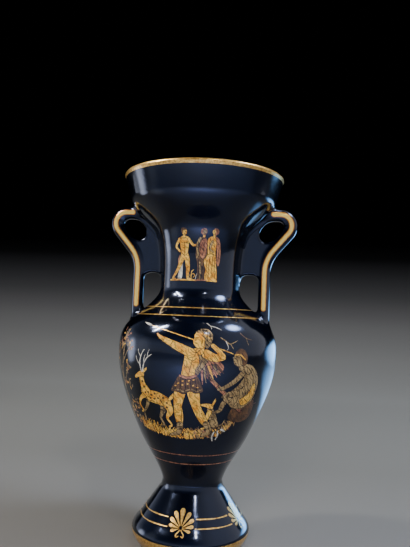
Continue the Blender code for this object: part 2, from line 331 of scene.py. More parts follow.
youth = [
    (PALE, [(-4.5, 15), (-2, 17), (-1.5, 8), (-2.2, 1), (-5.6, 1), (-4.8, 8)]),
    (COPPER, [(-5.0, 19), (-3, 19), (-3.6, 13), (-5.8, 12)]),
    (GOLD, [(-1.6, 19, 4.0), (-4.6, 10.5, 3.0), (-8.4, 4.6, 2.0), (-10.6, 1.8, 1.5)]),
    (GOLD, [(-10.7, 1.4, 1.4), (-8.2, 0.8, 1.2)]),
    (GOLD, [(1.7, 19, 4.2), (3.0, 10.5, 3.3), (2.8, 4.5, 2.3), (3.0, 1.6, 1.7)]),
    (GOLD, [(3.0, 1.2, 1.5), (6.4, 0.9, 1.1)]),
    (GOLD, [(-4.3, 33), (0, 34.8), (4.3, 33), (3.5, 27), (2.8, 22), (3.6, 17), (0, 15.6), (-3.4, 17), (-3, 22), (-3.8, 28)]),
    (GOLD, [(-4.0, 32.4, 2.2), (-7.6, 26.6, 1.9), (-4.2, 22.6, 1.4)]),
    (GOLD, [(4.0, 32.2, 2.2), (7.4, 27.4, 1.8), (12.6, 29.0, 1.2)]),
    (GOLD, [(0, 34, 2.0), (0.2, 36.6, 1.9)]),
    disc(GOLD, 0.4, 38.3, 4.6, 5.4),
    (UMBER, [(-2.1, 38), (-1.8, 40.8), (0.6, 41.6), (2.8, 40.2), (1.2, 39.6), (-0.6, 39.4), (-1.2, 37)]),
    ink((1.2, 38.4), (2.0, 38.5)),
    ink((-3.0, 30.2), (-1.2, 29.0), (0, 29.6), (1.4, 29.0), (3.0, 30.2)),
    ink((0, 29), (0.1, 24), (0, 20)),
    ink((-2.6, 21.4), (0, 19.2), (2.8, 21.4)),
    ink((-1.6, 26), (-0.4, 25.4)),
    ink((3.4, 10.4), (2.4, 9.6)),
    ink((0.2, 15.6), (0.6, 12.6)),
    (UMBER, [(13.0, 34, 0.5), (12.2, 20, 0.5), (11.6, 2, 0.5)]),
]
women = [
    (UMBER, [(-8.6, 31), (-6, 34), (-2, 32), (-1.5, 20), (-3.0, 8), (-3.6, 1), (-8.2, 1), (-8.6, 12), (-10.4, 20), (-9.6, 27)]),
    (TAN, [(-7.6, 32.6, 2.2), (-9.6, 27, 1.9), (-8.4, 21, 1.5), (-9.4, 17.6, 1.2)]),
    (COPPER, [(-7, 30), (-3.5, 33), (-1.8, 29), (-2.4, 21), (-5, 17), (-7.4, 22)]),
    (TAN, [(-6.6, 14, 1.5), (-6.2, 7, 1.3), (-6.4, 1.5, 1.3)]),
    (COPPER, [(3, 34.5), (7.2, 33.6), (9.4, 27), (9.6, 18), (8.4, 12), (6.6, 14), (6.4, 24), (4, 30)]),
    (GOLD, [(-1.4, 32), (1, 34.6), (4.4, 34), (5.6, 29), (5.4, 21), (6.4, 12), (7, 1), (1.8, 0.6), (-2.6, 1), (-2.2, 9), (-3.8, 15), (-1, 20), (-1.2, 26)]),
    (GOLD, [(-4.6, 34.6, 1.8), (-4.8, 36.4, 1.7)]),
    disc(COPPER, -4.9, 38.4, 5.2, 5.4),
    (TAN, [(-5.6, 40.2), (-3.4, 39.8), (-2.8, 37.8), (-4.2, 36.2), (-5.6, 37.0), (-5.2, 38.6)]),
    (GOLD, [(3.6, 34.6, 1.8), (3.8, 36.8, 1.7)]),
    disc(COPPER, 4.6, 38.8, 5.0, 5.4),
    (GOLD, [(2.0, 39.2), (3.4, 40.4), (4.4, 39.2), (4.0, 37.0), (2.8, 36.6), (2.2, 37.8)]),
    (TAN, [(2.6, 31, 1.9), (0.6, 25.4, 1.6), (3.6, 22.8, 1.2)]),
    ink((0.6, 33), (0.2, 28), (0.8, 21)), ink((3.6, 21), (3.0, 12), (3.4, 2)), ink((1.2, 19), (0.2, 10), (0.4, 2)),
    ink((5.0, 18), (4.9, 10), (5.4, 2)), ink((-1.0, 16), (-1.6, 9), (-1.4, 2)), ink((-1.0, 20.4), (2, 21), (5.4, 20.2)),
    ink((2.6, 28), (4.6, 27)), ink((7.8, 30), (8.4, 22), (7.6, 15)), ink((-4.0, 30), (-4.2, 24), (-5.4, 19)),
    ink((-6.4, 28), (-6.8, 23)), ink((-3.6, 14), (-4.6, 8), (-4.8, 2)), ink((-7.8, 16), (-7.6, 9), (-7.8, 2)),
    ink((-3.9, 38.6), (-3.2, 38.5)), ink((2.8, 38.8), (3.4, 38.9)),
]
plants = [
    (PALE, [(1, 0.5, 0.5), (1.6, 4, 0.5), (3.6, 8, 0.9), (4.0, 10, 0.3)]),
    (TAN, [(1.6, 4, 0.4), (4.4, 5.4, 0.8), (5.0, 7, 0.3)]),
    (GOLD, [(-2, 0.5, 0.6), (-2.6, 3.5, 0.6), (-0.8, 5, 0.6), (0.4, 3.4, 0.6), (-0.8, 2.2, 0.5)]),
    (GOLD, [(-2.4, 3.6, 0.5), (-2.2, 6.6, 0.7), (-0.6, 8, 0.4)]),
    (TAN, [(-4.2, 0.5, 0.5), (-4.2, 3, 0.7), (-3.4, 4.6, 0.3)]),
]
draw(-15, NECK_GROUND, youth, 1.0, NECK_RIM)
draw(-0.5, NECK_GROUND, plants)
draw(18, NECK_GROUND, women, 1.0, NECK_RIM)
draw(-4, NECK_GROUND, [(GOLD, [(-19.5, 0, 1.3), (-8, 0.1, 1.0), (4, -0.1, 1.2)]), (COPPER, [(3, 0, 1.2), (9, 0.1, 0.9), (13, 0, 1.1)]),
                       (GOLD, [(12, 0, 1.3), (19.8, -0.1, 1.4)])])


# Enamel prints: finely ground colour in a soft flux. Each is one tone, mottled where the screen left it thin, so
# the dark glaze shows in specks and in fine engraved lines 2 mm apart; it shines a little less than the glaze.
def enamel_print(name, dark, light, metal, hatch):
    material, shader = new_material(name, {"Metallic": metal, "Roughness": 0.36, "IOR": 1.4, "Coat Weight": 0.12,
                                           "Coat Roughness": 0.08})
    place = add_node(material, "ShaderNodeTexCoord")
    cloud = add_node(material, "ShaderNodeTexNoise", {"Scale": 1 / 0.0045, "Detail": 3.0},
                     {"Vector": place.outputs["Object"]})
    tone = add_node(material, "ShaderNodeValToRGB", (), {"Fac": cloud.outputs["Fac"]})
    tone.color_ramp.elements[0].position, tone.color_ramp.elements[0].color = 0.34, srgb(dark)
    tone.color_ramp.elements[1].position, tone.color_ramp.elements[1].color = 0.60, srgb(light)
    specks = add_node(material, "ShaderNodeTexNoise", {"Scale": 1 / 0.0007, "Detail": 2.0},
                      {"Vector": place.outputs["Object"]})
    thin = add_node(material, "ShaderNodeMapRange", {"From Min": 0.62, "From Max": 0.72},
                    {"Value": specks.outputs["Fac"]})
    lines = add_node(material, "ShaderNodeTexWave", {"bands_direction": "DIAGONAL", "Scale": 2 * math.pi / 20 / 0.0019,
                                                     "Distortion": 9.0, "Detail": 1.5, "Detail Scale": 1.2},
                     {"Vector": place.outputs["Object"]})
    cut = add_node(material, "ShaderNodeMapRange", {"From Min": 0.74, "From Max": 0.92, "To Max": hatch},
                   {"Value": lines.outputs["Fac"]})
    dark_share = add_node(material, "ShaderNodeMath", {"operation": "MAXIMUM"},
                          {0: thin.outputs["Result"], 1: cut.outputs["Result"]})
    mixed = add_node(material, "ShaderNodeMix", {"data_type": "RGBA"}, {"Factor": dark_share.outputs["Value"]})
    mixed.inputs[7].default_value = srgb("#1A120A")
    join_nodes(material, tone.outputs["Color"], mixed.inputs[6])
    join_nodes(material, mixed.outputs[2], shader.inputs["Base Color"])
    return material


# The picture on the belly
# The same kind of transfer, larger: a huntsman throws a spear, with a stag before him, his hound at his heels
# and a seated companion behind, among grass, a tree and bare twigs. All are stock figures of the manner.
BELLY_GROUND = 0.0934
BELLY_RIM = 0.34
CURLS = ((4.6, 82.2), (6.8, 83.4), (9.2, 83.8), (11.6, 83.2), (13.6, 81.4), (14.8, 79.0), (15.2, 76.4), (14.6, 73.8), (12.6, 72.4),
         (12.4, 75.2), (12.4, 78.2), (10.4, 80.8))

huntsman = [
    (GOLD, [(33, 66.6, 0.6), (16, 72.2, 0.7), (-10, 79.8, 0.7), (-33, 86.4, 0.6)]),
    (PALE, [(-32, 86.1, 0.7), (-35, 87.0, 2.0), (-40, 88.6, 0.3)]),
    (COPPER, [(8, 68), (14, 66), (21, 62), (26, 57), (23, 52), (17, 51), (11, 54), (8, 60)]),
] + [
    ((COPPER, TAN, UMBER, GOLD)[i % 4], [(9.5 + 1.7 * i, 55.5 + 0.5 * i, 1.6), (10 + 2.2 * i, 49 + i, 1.3),
                                         (10.4 + 2.6 * i, 43.8 + 1.4 * i, 0.4)])
    for i in range(7)
] + [
    (GOLD, [(2.0, 45, 9.4), (4.4, 34, 8.4), (6.0, 26, 6.2), (10, 17, 6.4), (13.4, 10, 4.0), (15.2, 6, 3.4)]),
    (TAN, [(13.4, 11.5, 5.0), (15.4, 6.5, 4.4), (14.6, 3.6, 3.8), (10, 1.6, 2.2)]),
    (GOLD, [(-4.4, 45, 9.4), (-6.6, 34, 8.0), (-7.6, 26, 6.0), (-6.8, 18, 6.4), (-6.2, 10, 4.2), (-6.4, 5, 3.4)]),
    (TAN, [(-6.2, 10.5, 4.8), (-6.4, 5, 4.2), (-8.6, 2.2, 3.4), (-13, 0.9, 2.0)]),
    (GOLD, [(-5, 45), (-4.8, 53), (-3.6, 60), (-2.4, 66), (3, 69.4), (9, 70), (14.4, 67.6), (13.4, 61), (9.4, 55), (5.8, 49), (4.8, 44), (0, 42)]),
    (TAN, [(6.6, 69), (13, 68.6), (14, 62), (10, 55.4), (6.2, 50), (5, 54), (8, 60)]),
    (UMBER, [(-6.2, 50), (0, 48.6), (5.6, 50.6), (9.4, 44), (10.6, 38.4), (5.6, 36.8), (1.4, 38.2), (-3.4, 35.8), (-7.4, 37.4), (-12.6, 38.2), (-9.6, 45)]),
    (COPPER, [(-6.0, 49.6, 1.6), (0, 48.2, 1.8), (5.6, 50.2, 1.6)]),
    (TAN, [(-11.6, 39.6, 1.0), (-6.6, 38.8, 1.0), (-3, 37.6, 1.0), (1.4, 39.8, 1.0), (5.6, 38.4, 1.0), (9.6, 39.6, 1.0)]),
    (GOLD, [(1.6, 66.4, 6.4), (-7, 70, 6.0), (-15, 73.4, 4.4), (-21.4, 76.2, 3.2)]),
    (GOLD, [(-21, 76, 3.0), (-24, 77.8, 2.2), (-25.6, 79.4, 0.9)]),
    (GOLD, [(12.2, 66.2, 6.2), (19, 63.4, 5.6), (25.2, 64, 4.4)]),
    (GOLD, [(25.0, 64.6, 4.0), (21, 69, 3.4), (17, 72.2, 2.8)]),
    (GOLD, [(8, 68, 5.4), (8.6, 72, 5.0)]),
    (GOLD, [(3.4, 72.4), (2.6, 75.4), (3.2, 77.4), (3.6, 80.4), (6.6, 83), (11, 83.4), (14.4, 80.6), (14.6, 75), (11.4, 70.8), (6.4, 70)]),
    (TAN, [(4.0, 81.2), (7.4, 84.6), (12.6, 84.6), (16.4, 80.6), (16.2, 74.6), (13.2, 70), (11, 72.4), (11, 77), (8.4, 80.2)]),
    (GOLD, [(4.4, 80.8, 1.1), (9.4, 80.6, 1.2), (14.8, 77.4, 1.1)]),
    ink((4.4, 77.6), (5.4, 78.0), (6.2, 77.6)), ink((4.0, 73.6), (5.2, 73.4)), ink((8.8, 76.4), (9.4, 74.6), (8.6, 73.6)),
    ink((10.6, 82.6), (12.6, 79.6), (13, 75)), ink((8.4, 83.4), (10.8, 81.8)), ink((14.4, 82), (15.0, 77.6)),
    ink((-1.4, 63.4), (2.6, 60.8), (5.4, 62.6)), ink((2.4, 60.4), (1.0, 54.6), (0.2, 50.6)), ink((-3.0, 57.4), (-1.4, 55.6)),
    ink((8.4, 66.8), (9.6, 61), (6.6, 54.6)), ink((10.8, 67), (11.8, 62.6)), ink((1, 69), (4.6, 66.6), (8.8, 69.4)),
    ink((-8.4, 46), (-9.6, 39)), ink((-5.6, 48), (-5.8, 41), (-6.6, 37.6)), ink((-2.2, 47.6), (-1.8, 41), (-2.8, 36.8)),
    ink((1.2, 47.8), (2.0, 42), (1.6, 39)), ink((4.4, 49), (6.0, 43), (6.2, 38.4)), ink((-6.2, 28), (-8.8, 27)),
    ink((5.0, 27.6), (7.6, 26.4)), ink((-4.9, 23), (-4.8, 16), (-5.4, 11)), ink((9.8, 21), (11.8, 15.6)),
    ink((-6, 68.6), (-3.6, 66.8)), ink((-14, 71.6), (-12.4, 74.4)), ink((18.6, 65.4), (21, 62)),
    ink((-8, 8), (-4.4, 8.6)), ink((-8.4, 5.6), (-4.6, 6.4)), ink((11.8, 10), (15.6, 11)), ink((13.2, 6.8), (17, 8.4)),
    ink((13, 63.6), (17, 58.4), (18, 53.6)), ink((15.6, 63.2), (20.4, 57.4), (21, 54)), ink((11.4, 61), (13.6, 55.6)),
] + [ink((x - 0.7, y - 0.5), (x - 0.2, y + 0.6), (x + 0.6, y + 0.3), (x + 0.5, y - 0.5)) for x, y in CURLS] + [
    (GOLD, [(x - 0.3, y, 0.9), (x + 0.3, y + 0.2, 0.9)]) for x, y in ((-9.4, 41.8), (-7.4, 43.8), (-4.2, 42.6), (-0.2, 43.6), (3.6, 42.6),
                                                                      (6.8, 41.2), (-4.0, 45.6), (0.6, 46.2), (4.0, 46.8))
]

stag = [
    (TAN, [(11, 22, 6.0), (9.4, 14, 3.8), (6.2, 8.4, 1.9), (7.8, 2.6, 1.4), (6, 0.8, 1.7)]),
    (TAN, [(-1.6, 23, 4.0), (-5, 16, 2.4), (-9.6, 10.6, 1.6), (-9.4, 5, 1.4), (-11.2, 3.4, 1.5)]),
    (GOLD, [(13.4, 22, 8.6), (7, 24.4, 10.0), (0, 25.4, 9.4), (-4.2, 29, 8.2)]),
    (GOLD, [(13.6, 22, 7.6), (15.4, 14.4, 4.8), (11.8, 8.6, 2.1), (14.2, 3.0, 1.5), (12, 1.0, 1.8)]),
    (GOLD, [(-4, 26, 4.8), (-10, 22.4, 2.7), (-12.8, 16.6, 1.8), (-10.2, 12.4, 1.5), (-11.8, 10.8, 1.6)]),
    (GOLD, [(-2.8, 28.4, 8.4), (-5.6, 35, 5.2), (-5.8, 41, 4.4)]),
    (GOLD, [(-5, 42.2, 4.6), (-8.8, 41, 3.6), (-12.4, 39.2, 2.0)]),
    (GOLD, [(-3.8, 43.4, 1.4), (-1.4, 45.4, 2.0), (0, 47, 0.4)]),
    (PALE, [(-5.4, 44, 1.0), (-6.8, 50, 0.9), (-5.4, 56, 0.8), (-2.6, 60.4, 0.4)]),
    (PALE, [(-6.4, 48.6, 0.8), (-9.8, 52, 0.7), (-11, 55.4, 0.3)]), (PALE, [(-5.8, 55, 0.7), (-8.4, 58, 0.6), (-8.8, 60.4, 0.3)]),
    (PALE, [(-4.2, 44, 1.0), (-2.6, 50, 0.9), (0.6, 54.6, 0.8), (4.6, 57.2, 0.4)]),
    (PALE, [(-2.6, 50, 0.8), (-2.4, 54, 0.6), (-1.0, 57, 0.3)]), (PALE, [(0.8, 54.6, 0.7), (1.2, 58, 0.5), (2.4, 60.6, 0.3)]),
    (GOLD, [(16.6, 24, 2.0), (19.2, 26.6, 2.2), (20.4, 29, 0.5)]),
    ink((-7.4, 42.2), (-6.6, 42.6)), ink((-12.4, 39.6), (-11.6, 39.2)), ink((-8.2, 29), (-4.2, 24.6), (-2.6, 22.4)),
    ink((9.2, 26.6), (9.6, 21), (11.8, 18.6)), ink((-2.6, 38.6), (-2.2, 33.4)), ink((-7.6, 37), (-7.6, 33)), ink((-4.6, 22.2), (3, 20.8), (8.6, 19.8)),
] + [disc(UMBER, x, y, 1.2, 0.9, 20) for x, y in ((-1, 28.2), (2, 26.2), (5, 27.6), (7.4, 24.2), (0.4, 23.6), (4, 23.4), (12, 24.6),
                                                  (14, 21), (-4.2, 32), (-5.4, 36.4), (-3.8, 27.6), (13.4, 17.4))]

hound = [
    (UMBER, [(5.4, 5, 6.4), (6.6, 3, 4.2), (3, 1.6, 2.0)]),
    (TAN, [(5, 5, 6.0), (3, 11, 5.8), (0.8, 16.6, 4.6), (0.2, 19.6, 3.8)]),
    (GOLD, [(0.2, 15.4, 3.6), (-1.4, 8.4, 2.0), (-1.8, 2, 1.6), (-4, 1, 1.4)]),
    (GOLD, [(0.6, 20, 4.2), (-2.8, 21, 2.8), (-6.4, 21.2, 1.5)]),
    (GOLD, [(1.8, 21, 1.2), (3.4, 24.6, 1.5), (3.6, 26.4, 0.3)]),
    (TAN, [(7.4, 3.4, 1.5), (11, 4.2, 1.2), (13.2, 8.2, 0.6)]),
    ink((-1.6, 21.4), (-0.8, 21.6)), ink((2.6, 17.6), (-1.4, 15.8)), ink((2.0, 9.4), (4.6, 8.6), (6, 5.6)), ink((1.4, 13), (2.6, 10)),
    (PALE, [(6, -2, 0.9), (4.6, -6, 1.3), (5.4, -10, 0.8)]), (PALE, [(8.4, -1, 0.7), (9, -5, 1.2), (7.8, -9, 0.6)]),
    (PALE, [(11.4, 0, 1.6), (14.4, -1.8, 1.2)]),
]

companion = [
    (UMBER, [(-4, 4), (6, 8), (15, 8), (17.4, 0), (14, -8), (4, -10), (-6, -6)]),
    (COPPER, [(-31, 29.4, 2.6), (-14, 14.6, 3.0), (3.4, 0, 3.2)]), disc(COPPER, -32, 30.6, 4.4, 5.6, 45), disc(TAN, -32.6, 31.2, 1.6, 2.2, 45),
    (TAN, [(-30, 29.6, 0.6), (-13, 15.2, 0.6), (3.6, 1.2, 0.6)]),
    (TAN, [(3.4, 28, 4.8), (-3, 19.6, 3.8), (-12.4, 13, 2.8), (-15, 12.4, 2.2)]),
    (TAN, [(-10, 12, 5.4), (-13.6, 6, 4.0), (-14.8, 1, 3.2), (-19.4, -0.6, 1.8)]),
    (TAN, [(-4, 35), (2, 37), (9, 34), (14.4, 26.4), (15.4, 17), (12, 7.4), (3.4, 2.2), (-5, 3), (-9.6, 6.6), (-14, 10), (-12.6, 15.4), (-5, 17.4), (0.6, 19), (0.8, 25.6), (-3, 30)]),
    (GOLD, [(0, 9), (7, 14), (11, 22), (13.4, 17), (11, 9), (4, 4.6)]),
    (TAN, [(0, 32.4, 5.0), (-7, 25, 3.8), (-15.4, 19.4, 3.0), (-19.6, 18.4, 2.4)]),
    (TAN, [(-3.6, 34, 4.2), (-5, 37.6, 4.0)]),
    (TAN, [(-10.8, 39), (-10.4, 42.6), (-8, 45.6), (-4, 46.2), (-0.8, 43.4), (-1, 38.8), (-4, 35.8), (-8.4, 36)]),
    (UMBER, [(-9.6, 44.4), (-6, 48.2), (-1.4, 47.4), (1.4, 43), (1, 38), (-2.2, 36), (-3.4, 39.6), (-5.4, 43)]),
    (GOLD, [(-9.6, 43.8, 0.9), (-5, 43.8, 0.9), (-0.6, 40.2, 0.9)]),
    ink((-9.6, 41.2), (-8.8, 41.4)), ink((-9.8, 37.8), (-8.6, 37.6)), ink((-4, 45.6), (-2, 42.8)),
    ink((-1, 31.6), (4, 29), (7, 33)), ink((2.6, 34.6), (8.4, 28), (11, 20)), ink((5.6, 34), (12, 26.4), (13.4, 19.6)),
    ink((2.4, 26), (6.4, 20), (6, 12)), ink((1.6, 20), (4, 14), (1, 7)), ink((-3.6, 16.4), (-2, 10), (-4.4, 5)),
    ink((-8.4, 15.6), (-7, 10), (-8.6, 7)), ink((9, 16), (9.4, 9)), ink((-12, 14), (-10.8, 10)), ink((-5.4, 25.6), (-7.4, 23.4)),
    ink((4.4, 10), (8.6, 7)), ink((-1, 13.6), (-9, 11.4)),
] + [ink((-28 + 6.2 * i, 24.8 - 5.3 * i), (-25.4 + 6.2 * i, 27.8 - 5.3 * i)) for i in range(6)]

tree = [
    (TAN, [(-5, 0, 3.8), (-3, 14, 2.6), (-5, 30, 2.4), (-1, 46, 2.0), (3, 62, 1.2)]),
    (UMBER, [(-4, 4, 1.0), (-2.2, 16, 0.9), (-4.2, 30, 0.8), (0, 46, 0.6)]),
    (TAN, [(-4.4, 26, 1.6), (3, 34, 1.1), (7, 41, 0.6)]), (TAN, [(-1.6, 43, 1.5), (6, 52, 1.0), (10, 57, 0.5)]),
    (TAN, [(-4.4, 34, 1.4), (-10, 44, 1.0), (-12, 52, 0.5)]),
]
leaves = np.random.default_rng(11)
for x, y, count, spread in ((3, 64, 34, 6.5), (10, 56, 16, 4.0), (7, 41, 16, 4.2), (-12, 52, 16, 4.6), (-4, 58, 16, 4.5),
                            (5, 27, 18, 5.0), (9, 12, 18, 5.0), (1, 3, 18, 6.0)):
    for leaf in range(count):
        u, v = leaves.normal(0, spread * 0.5, 2)
        lean = leaves.uniform(0, math.pi)
        long = leaves.uniform(2.2, 3.8)
        finish = (GOLD, TAN, TAN, UMBER, COPPER)[leaves.integers(5)]
        tree.append((finish, [(x + u, y + v, 0.5), (x + u + long / 2 * math.cos(lean), y + v + long / 2 * math.sin(lean), 1.5),
                              (x + u + long * math.cos(lean), y + v + long * math.sin(lean), 0.3)]))

twigs = [
    (PALE, [(0, 0, 0.5), (2.6, -2.6, 0.7), (6.4, -3.6, 0.7), (11, -6, 0.3)]), (PALE, [(2.6, -2.6, 0.5), (3.4, -5.4, 0.3)]),
    (TAN, [(10, -12, 0.5), (14, -14.6, 0.9), (17.6, -16.6, 0.8), (23.6, -14, 0.3)]),
    (PALE, [(14, -14.6, 0.6), (16, -19.4, 0.4), (14.6, -21.4, 0.3)]), (TAN, [(17.6, -16.6, 0.6), (20, -20, 0.3)]),
    (UMBER, [(26, -8, 0.5), (31, -12, 0.8), (37, -13.4, 0.4)]), (TAN, [(31, -12, 0.6), (33.4, -17, 0.3)]),
    (PALE, [(20, -26.6, 0.3), (24, -24.6, 0.7), (29, -24, 0.3)]),
]

GRASS_BLADES = 640
GRASS_FROM, GRASS_TO = -45, 57
grass = np.random.default_rng(5)
for blade in range(GRASS_BLADES):
    azimuth = grass.uniform(GRASS_FROM, GRASS_TO)
    rise = 7 * (azimuth / 50) ** 2 + max(0.0, azimuth - 28) * 0.35
    root = grass.uniform(-2.2, 2.2 + max(0.0, azimuth - 24) * 0.16) + rise
    tall = grass.uniform(2.4, 7.5)
    lean = grass.normal(0, 2.6)
    shades = (GOLD, GOLD, GOLD, TAN, GLAZE) if azimuth < 6 else (TAN, COPPER, GLAZE, GOLD, TAN)
    draw(azimuth, BELLY_GROUND, [(shades[grass.integers(5)], [(0, root, 0.75), (lean * 0.35, root + tall * 0.55, 0.65),
                                                             (lean, root + tall, 0.2)])])
draw(-54, 0.1032, tree)
draw(14.5, 0.1782, twigs)
draw(-27, 0.0992, stag, 1.0, BELLY_RIM)
draw(19, 0.0992, hound, 1.0, BELLY_RIM)
draw(42, 0.1135, companion, 1.0, BELLY_RIM)
draw(3, BELLY_GROUND, huntsman, 1.0, BELLY_RIM)

# The back
# The side away from the viewer carries no picture. It has one large gilt palmette between two laurel sprays.
SPRAY_LEAVES = 9
laurel = []
for side in (-1, 1):
    laurel.append((GILT, [(14 * side, 0, 0.8), (30 * side, 4, 0.8), (46 * side, 14, 0.7), (56 * side, 28, 0.4)]))
    for leaf in range(SPRAY_LEAVES):
        share = (leaf + 0.6) / SPRAY_LEAVES
        x, y = 14 + 42 * share, 28 * share**2
        for lift in (-1, 1):
            a = math.atan2(56 * share, 42) + 0.75 * lift
            laurel.append((GILT, [(x * side, y, 0.5), ((x + 3.2 * math.cos(a)) * side, y + 3.2 * math.sin(a), 2.3),
                                  ((x + 6.4 * math.cos(a)) * side, y + 6.4 * math.sin(a), 0.3)]))
draw(180, 0.125, laurel)
palmette(180, 0.130, 1.6)

# The fired body
# The outside is cut along every painted edge, so that the colours lie in the surface and stand up nowhere.
# The lip, the inside and the underside follow the same wall; the ring that it stands on is wiped bare.
LIP_STEPS = 12
INSIDE_ROWS = 76
FLOOR_HEIGHT = RECESS_DEPTH + WALL


def vase_body():
    rows = round(FULL_LENGTH / ROW_STEP)
    grid_up = np.linspace(0.0, FULL_LENGTH, rows + 1)
    grid_across = np.linspace(0.0, FULL_ROUND, COLUMNS + 1)
    points = [Vector((u, v)) for v in grid_up for u in grid_across]
    edges = []
    for r in range(rows):
        for column in (0, COLUMNS):
            edges.append((r * (COLUMNS + 1) + column, (r + 1) * (COLUMNS + 1) + column))
    for c in range(COLUMNS):
        for row in (0, rows):
            edges.append((row * (COLUMNS + 1) + c, row * (COLUMNS + 1) + c + 1))
    faces, finishes = [], []
    for finish, shape in paint:
        first = len(points)
        shape = np.clip(shape, 0.0, (FULL_ROUND, FULL_LENGTH))
        points += [Vector(p) for p in shape.tolist()]
        faces.append(list(range(first, len(points))))
        finishes.append(finish)
    made = delaunay_2d_cdt(points, edges, faces, 0, 1e-7, True)
    flat = np.array([p[:] for p in made[0]])
    triangles = np.array([f for f in made[2]])
    painted = [finishes[max(owners)] if owners else GLAZE for owners in made[5]]

    def azimuth_turn(across):
        return across / ROLL_OUT + math.radians(SEAM_AZIMUTH - 90)

    tiny = 1e-6
    turn = azimuth_turn(flat[:, 0])
    radius, height = outline_at(flat[:, 1])
    outward, upward = outline_normal(flat[:, 1])
    positions = [np.column_stack([radius * np.cos(turn), radius * np.sin(turn), height])]
    normals = [np.column_stack([outward * np.cos(turn), outward * np.sin(turn), upward])]
    seam_low = np.nonzero(flat[:, 0] < tiny)[0]
    seam_high = np.nonzero(flat[:, 0] > FULL_ROUND - tiny)[0]
    same = np.arange(len(flat))
    same[seam_high[np.argsort(flat[seam_high, 1])]] = seam_low[np.argsort(flat[seam_low, 1])]
    polygons = [list(t) for t in same[triangles]]
    materials = list(painted)

    def edge_row(distance):
        row = np.nonzero((abs(flat[:, 1] - distance) < tiny) & (flat[:, 0] < FULL_ROUND - tiny))[0]
        return row[np.argsort(flat[row, 0])]

    def add_ring(turns, r, z, outward, upward):
        start = sum(len(p) for p in positions)
        c, s = np.cos(turns), np.sin(turns)
        positions.append(np.column_stack([r * c, r * s, np.full(len(c), z)]))
        normals.append(np.column_stack([outward * c, outward * s, np.full(len(c), upward)]))
        return np.arange(start, start + len(c))

    def stitch(low, high, finish):
        for i in range(len(low)):
            j = (i + 1) % len(low)
            polygons.append([low[i], low[j], high[j], high[i]])
            materials.append(finish)

    def close(ring, middle, finish):
        for i in range(len(ring)):
            polygons.append([ring[i], ring[(i + 1) % len(ring)], middle])
            materials.append(finish)

    ring = edge_row(FULL_LENGTH)
    turns = azimuth_turn(flat[ring, 0])
    for i in range(1, LIP_STEPS + 1):
        a = math.pi * i / LIP_STEPS
        here = add_ring(turns, MOUTH_RADIUS - WALL / 2 * (1 - math.cos(a)), HEIGHT - WALL / 2 * (1 - math.sin(a)),
                        math.cos(a), math.sin(a))
        stitch(ring, here, GILT if i < LIP_STEPS - 2 else GLAZE)
        ring = here
    inside = np.linspace(FULL_LENGTH - 0.002, 0.0, INSIDE_ROWS)
    r, z = outline_at(inside)
    outward, upward = outline_normal(inside)
    inner_r, inner_z = r - outward * WALL, z - upward * WALL
    for k in range(INSIDE_ROWS):
        gap = np.min(np.hypot(outline[:, 0] - inner_r[k], outline[:, 1] - inner_z[k]))
        if gap < WALL * 0.99 or inner_z[k] < FLOOR_HEIGHT + WALL / 2:
            continue
        here = add_ring(turns, inner_r[k], inner_z[k], -outward[k], -upward[k])
        stitch(ring, here, GLAZE)
        ring, last = here, inner_r[k]
    for i in range(1, 6):
        a = math.pi / 2 * i / 5
        here = add_ring(turns, last - WALL / 2 * (1 - math.cos(a)), FLOOR_HEIGHT + WALL / 2 * (1 - math.sin(a)),
                        -math.cos(a), math.sin(a))
        stitch(ring, here, GLAZE)
        ring = here
    close(ring, add_ring(turns[:1], 0.0, FLOOR_HEIGHT, 0.0, 1.0)[0], GLAZE)

    ring = edge_row(0.0)
    turns = azimuth_turn(flat[ring, 0])
    for r, z, finish in ((RECESS_RADIUS + 0.0006, 0.0, CLAY), (RECESS_RADIUS, 0.0006, CLAY),
                         (RECESS_RADIUS - 0.0010, RECESS_DEPTH - 0.0006, GLAZE), (RECESS_RADIUS - 0.0022, RECESS_DEPTH, GLAZE)):
        here = add_ring(turns, r, z, 0.0, -1.0)
        stitch(here, ring, finish)
        ring = here
    close(ring[::-1], add_ring(turns[:1], 0.0, RECESS_DEPTH, 0.0, -1.0)[0], GLAZE)

    positions, normals = np.vstack(positions), np.vstack(normals)
    used = np.unique(np.concatenate([np.array(p) for p in polygons]))
    renumber = np.full(len(positions), -1)
    renumber[used] = np.arange(len(used))
    mesh = bpy.data.meshes.new("vase_body")
    mesh.from_pydata(positions[used].tolist(), [], [renumber[p].tolist() for p in polygons])
    mesh.polygons.foreach_set("material_index", np.array(materials, dtype=np.int32))
    mesh.polygons.foreach_set("use_smooth", np.ones(len(mesh.polygons), dtype=bool))
    mesh.normals_split_custom_set_from_vertices(normals[used].tolist())
    piece = bpy.data.objects.new("vase_body", mesh)
    bpy.context.scene.collection.objects.link(piece)
    return piece


body = vase_body()
glaze = black_gloss_glaze()
for coat in (glaze, bare_clay(), burnished_gilt(),
             enamel_print("enamel_gold", "#D88A1C", "#FFC650", 0.25, 0.55),
             enamel_print("enamel_tan", "#6C5432", "#A88A58", 0.20, 0.85),
             enamel_print("enamel_copper", "#7C4A32", "#BC7E58", 0.20, 0.70),
             enamel_print("enamel_umber", "#38261A", "#6B4A2C", 0.15, 0.60),
             enamel_print("enamel_pale", "#A59C88", "#E4DAC4", 0.10, 0.30)):
    body.data.materials.append(coat)
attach(body, "root")
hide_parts("vase")

